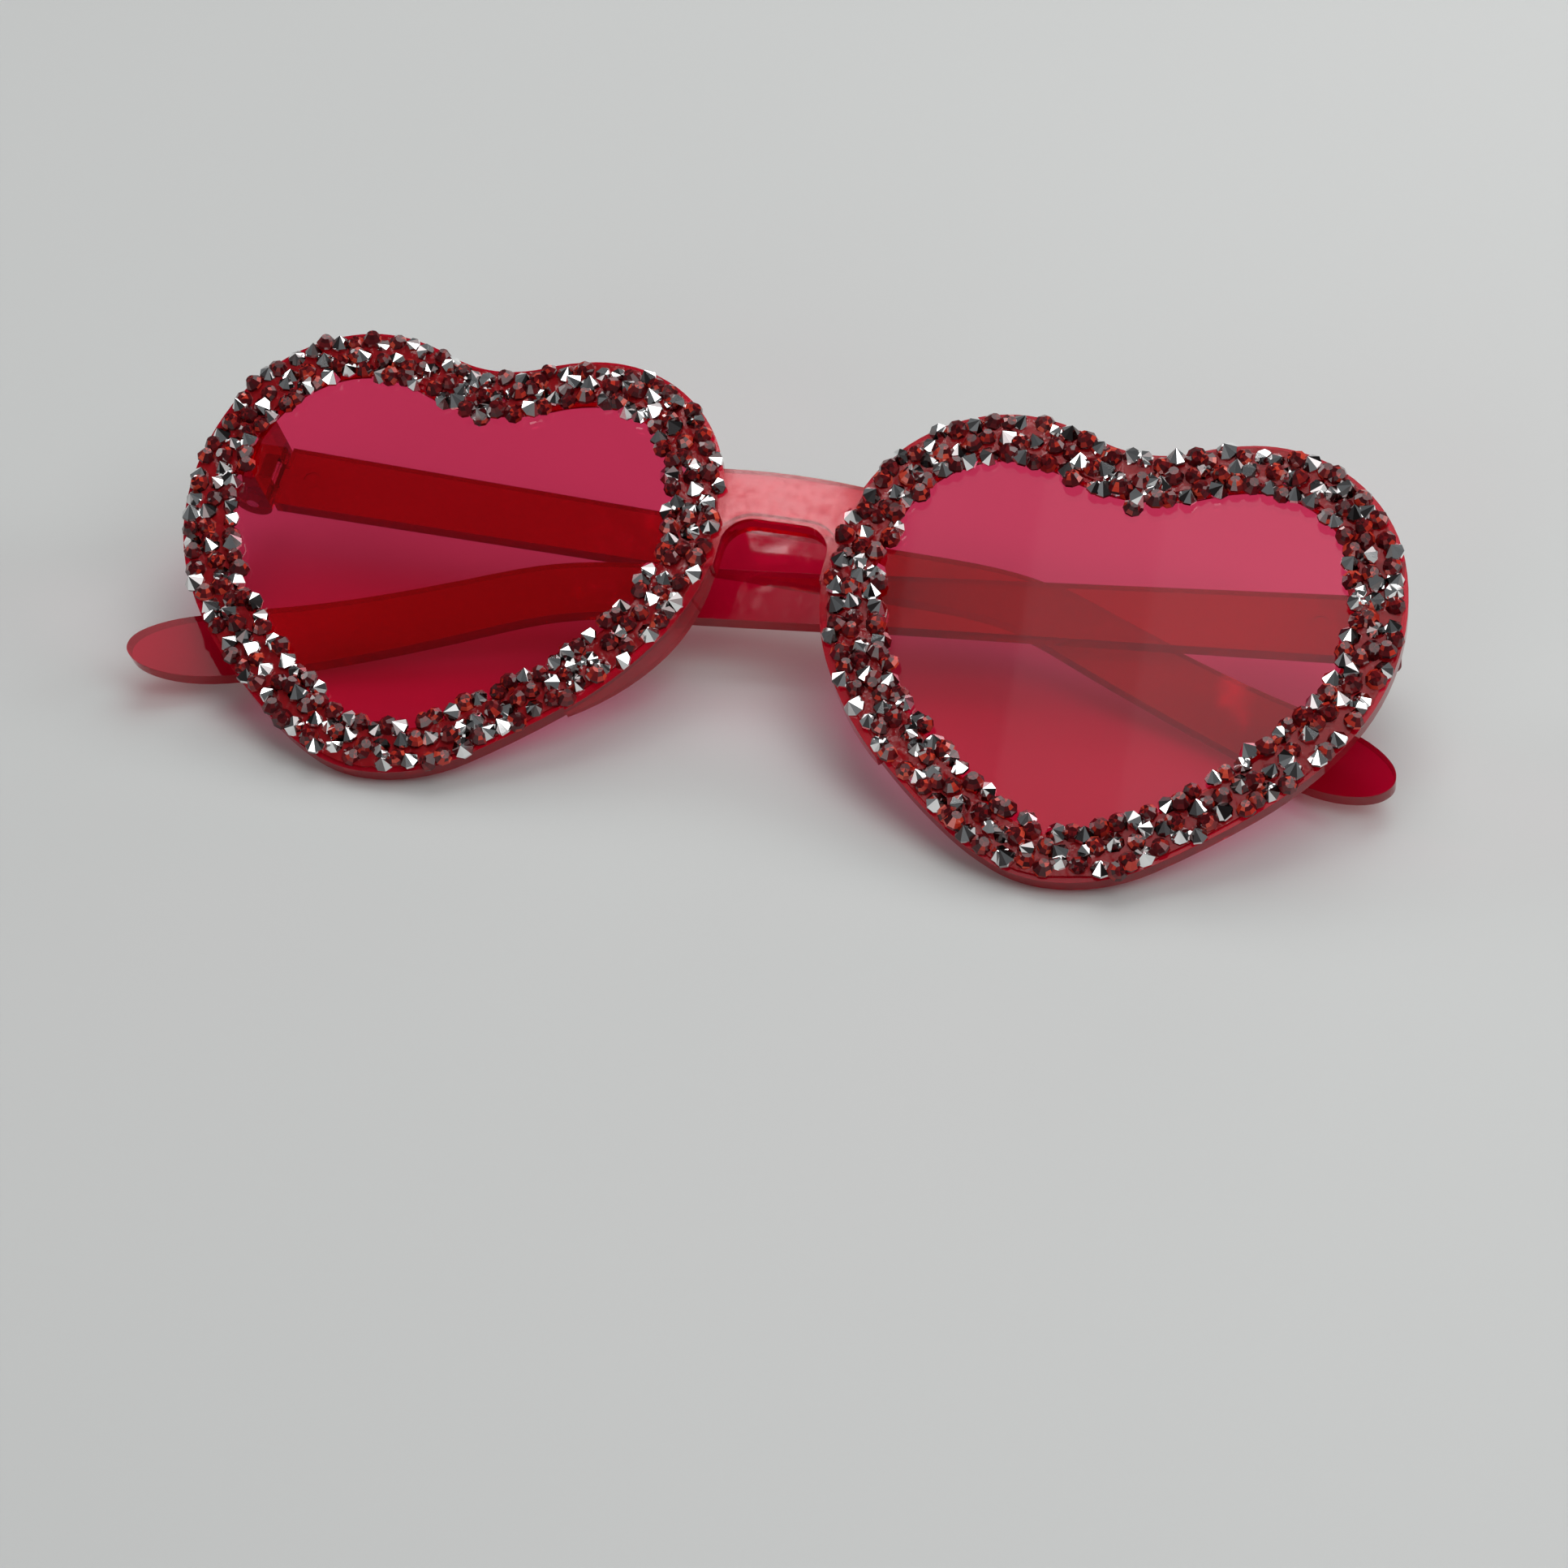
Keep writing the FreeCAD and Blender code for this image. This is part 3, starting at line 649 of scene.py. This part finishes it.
def standing_points(tree, given, upright):
    """Points shifted in the front's plane and sunk a little in the glue, each with its own painted glint."""
    shift = given.outputs["Shift"]
    back = maths(tree, "MULTIPLY", shift, -1.0)
    down = maths(tree, "MULTIPLY", given.outputs["Sink"], -1.0)
    offset = drawn(tree, given, "FLOAT_VECTOR", triple(tree, back, back, down),
                   triple(tree, shift, shift, 0.0), SHIFT_DRAW)
    turned = tree.nodes.new("FunctionNodeRotateVector")
    feed(tree, turned.inputs["Vector"], offset)
    feed(tree, turned.inputs["Rotation"], upright)
    moved = tree.nodes.new("GeometryNodeSetPosition")
    feed(tree, moved.inputs["Geometry"], given.outputs["Geometry"])
    feed(tree, moved.inputs["Offset"], turned.outputs["Vector"])
    # A painted glint level for each stone, which the stone materials turn into a painted reflection
    shade = drawn(tree, given, "FLOAT", 0.0, 1.0, GLINT_DRAW)
    return stored(tree, moved.outputs["Geometry"], "POINT", STONE_GLINT, shade)


def leaning(tree, given, upright):
    """Turn of each stone: upright on the front, then leaned and turned about its point."""
    lean = given.outputs["Lean"]
    lean_back = maths(tree, "MULTIPLY", lean, -1.0)
    angles = drawn(tree, given, "FLOAT_VECTOR", triple(tree, lean_back, lean_back, -math.pi),
                   triple(tree, lean, lean, math.pi), LEAN_DRAW)
    euler = tree.nodes.new("FunctionNodeEulerToRotation")
    feed(tree, euler.inputs["Euler"], angles)
    tilted = tree.nodes.new("FunctionNodeRotateRotation")
    tilted.rotation_space = "LOCAL"
    feed(tree, tilted.inputs["Rotation"], upright)
    feed(tree, tilted.inputs["Rotate By"], euler.outputs["Rotation"])
    return tilted.outputs["Rotation"]


def sparkling(tree, given, stones):
    """Stones with a random painted glint on every facet, no brighter than its mark."""
    mark = tree.nodes.new("GeometryNodeInputNamedAttribute")
    mark.data_type = "FLOAT"
    mark.inputs["Name"].default_value = FACET_GLINT
    chance = drawn(tree, given, "FLOAT", 0.0, 1.0, FACET_DRAW)
    shade = maths(tree, "MULTIPLY", mark.outputs["Attribute"], chance)
    return stored(tree, stones, "FACE", FACET_GLINT, shade)


def stone_tree():
    """Geometry Nodes tree that sets a cut stone on every point."""
    tree = bpy.data.node_groups.new("glued_stones", "GeometryNodeTree")
    group_socket(tree, "Geometry", "Geometry")
    for name, value in STONE_SIZES:
        group_socket(tree, name, "Float", value)
    for name, value in STONE_COUNTS:
        group_socket(tree, name, "Int", value)
    group_socket(tree, "Front", "Vector")
    group_socket(tree, "Finish", "Material")
    group_socket(tree, "Geometry", "Geometry", output=True)
    new, link = tree.nodes.new, tree.links.new
    given, made = new("NodeGroupInput"), new("NodeGroupOutput")
    upright, placed = new("FunctionNodeAlignRotationToVector"), new("GeometryNodeInstanceOnPoints")
    whole, finished = new("GeometryNodeRealizeInstances"), new("GeometryNodeSetMaterial")
    link(given.outputs["Front"], upright.inputs["Vector"])
    link(standing_points(tree, given, upright.outputs["Rotation"]), placed.inputs["Points"])
    link(marked_facets(tree, cut_stone(tree, given)), placed.inputs["Instance"])
    link(leaning(tree, given, upright.outputs["Rotation"]), placed.inputs["Rotation"])
    link(drawn(tree, given, "FLOAT", SMALLEST, LARGEST, SIZE_DRAW), placed.inputs["Scale"])
    link(placed.outputs["Instances"], whole.inputs["Geometry"])
    link(sparkling(tree, given, whole.outputs["Geometry"]), finished.inputs["Geometry"])
    link(given.outputs["Finish"], finished.inputs["Material"])
    link(finished.outputs["Geometry"], made.inputs["Geometry"])
    return tree


STONES = stone_tree()
print("stone tree:", len(STONES.nodes), "nodes")

# %% [markdown]
# ## Set the stones
# Each rim has a group of silver and a group of garnet stones, as the CAD model does. The modifier
# gets its sizes by the sockets' identifiers, and its result is kept as a plain mesh that stands
# for the CAD group.

# %% Set the stones
SILVER_CUT = {"Diameter": 2.3 * MM, "Height": 1.25 * MM, "Table": 0.0, "Facets": 8}
GARNET_CUT = {"Diameter": 2.3 * MM, "Height": 0.85 * MM, "Table": 0.55 * MM, "Facets": 9, "Rings": 2}
SILVER_SEED = 10
GARNET_SEED = 20


def set_stones(side, colour, finish, cut, seed):
    """Cut stones of one colour on one rim."""
    node = side + "_" + colour + "_stones"
    piece = bpy.data.objects.new(side + "_" + colour + "_cut_stones", stone_points(side, colour))
    scene.collection.objects.link(piece)
    count = len(piece.data.vertices)
    modifier = piece.modifiers.new("stones", "NODES")
    modifier.node_group = STONES
    values = dict(cut, Seed=seed, Front=FRONT, Finish=finish)
    for socket in STONES.interface.items_tree:
        if socket.in_out == "INPUT" and socket.name in values:
            modifier[socket.identifier] = values[socket.name]
    mesh = bake_modifiers(piece)
    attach(piece, "front")
    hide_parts(node)
    print(piece.name, count, "stones,", len(mesh.polygons), "faces")


for number, side in enumerate(SIDES):
    set_stones(side, "silver", foil, SILVER_CUT, SILVER_SEED + number)
    set_stones(side, "red", garnet, GARNET_CUT, GARNET_SEED + number)

# %% [markdown]
# ## Floor
# The pair lies on a plain pale sheet. One large face is enough, and a very slow noise keeps its
# tone from looking dead.

# %% Floor
FLOOR_HALF = 3.0
FLOOR_CORNERS = ((-1, -1), (1, -1), (1, 1), (-1, 1))

floor_mesh = bpy.data.meshes.new("floor")
floor_mesh.from_pydata([(x * FLOOR_HALF, y * FLOOR_HALF, 0.0) for x, y in FLOOR_CORNERS], [], [(0, 1, 2, 3)])
floor = bpy.data.objects.new("floor", floor_mesh)
scene.collection.objects.link(floor)
paper, shader = new_material("floor_paper", Roughness=0.6)
dye(paper, shader, cloudy(paper, scale=6.0, dark=(0.615, 0.625, 0.615), light=(0.645, 0.655, 0.645)))
floor_mesh.materials.append(paper)
print("floor", 2 * FLOOR_HALF, "m wide")

# %% [markdown]
# ## Light
# Two soft boxes light the table, from behind and from the right. Mirror stones need bright and
# dark things to reflect, so four small windows stand round a room that is dim at the horizon and
# dark overhead. Flat glossy plastic shows what hangs above it: a strip lights up the bridge, and
# a veil that grows in steps lays a soft sheen over one lens and leaves the other clear.

# %% Light
VEIL_EDGES = (-0.252, -0.22, -0.17, -0.12, 0.24)
VEIL_GLOWS = (0.25, 0.5, 0.75, 0.95)
VEIL_DEPTH = 0.9
VEIL_BACK = 0.1
CEILING = 1.0


def soft_box(name, place, width, depth, power, straight_down=False):
    """Rectangular area lamp that faces the pair, or straight down."""
    lamp = bpy.data.lights.new(name, "AREA")
    lamp.shape = "RECTANGLE"
    lamp.size = width
    lamp.size_y = depth
    lamp.energy = power
    box = bpy.data.objects.new(name, lamp)
    box.location = place
    target = (place[0], place[1], 0.0) if straight_down else (0.0, 0.0, 0.0)
    box.rotation_euler = (Vector(target) - Vector(place)).to_track_quat("-Z", "Y").to_euler()
    scene.collection.objects.link(box)


soft_box("back_box", (0.05, 0.75, 0.9), 1.0, 1.0, 6.5)
soft_box("top_box", (0.65, -0.15, 0.95), 0.6, 0.9, 4.0)
soft_box("bridge_strip", (-0.2775, 0.18, CEILING), 0.055, 0.17, 0.18, straight_down=True)
soft_box("left_window", (-0.9, 0.2, 0.35), 0.3, 0.3, 1.2)
soft_box("right_window", (0.9, 0.35, 0.4), 0.4, 0.4, 2.0)
soft_box("far_window", (0.25, 1.3, 0.3), 0.5, 0.25, 1.2)
soft_box("near_window", (-0.3, -1.1, 0.45), 0.6, 0.4, 2.0)
for left, right, glow in zip(VEIL_EDGES, VEIL_EDGES[1:], VEIL_GLOWS):
    width = right - left
    soft_box("veil_box", ((left + right) / 2, VEIL_BACK, CEILING), width, VEIL_DEPTH,
             glow * math.pi * width * VEIL_DEPTH, straight_down=True)


def room_light(low, high):
    """World that is dim at the horizon and dark overhead."""
    world = bpy.data.worlds.new("room")
    world.use_nodes = True
    tree = world.node_tree
    place, split = tree.nodes.new("ShaderNodeTexCoord"), tree.nodes.new("ShaderNodeSeparateXYZ")
    tree.links.new(place.outputs["Generated"], split.inputs["Vector"])
    shade = colour_ramp(tree, split.outputs["Z"], ((0.0, low), (1.0, high)))
    tree.links.new(shade, tree.nodes["Background"].inputs["Color"])
    return world


scene.world = room_light((0.16, 0.165, 0.17), (0.04, 0.042, 0.045))
scene.view_settings.view_transform = "Standard"
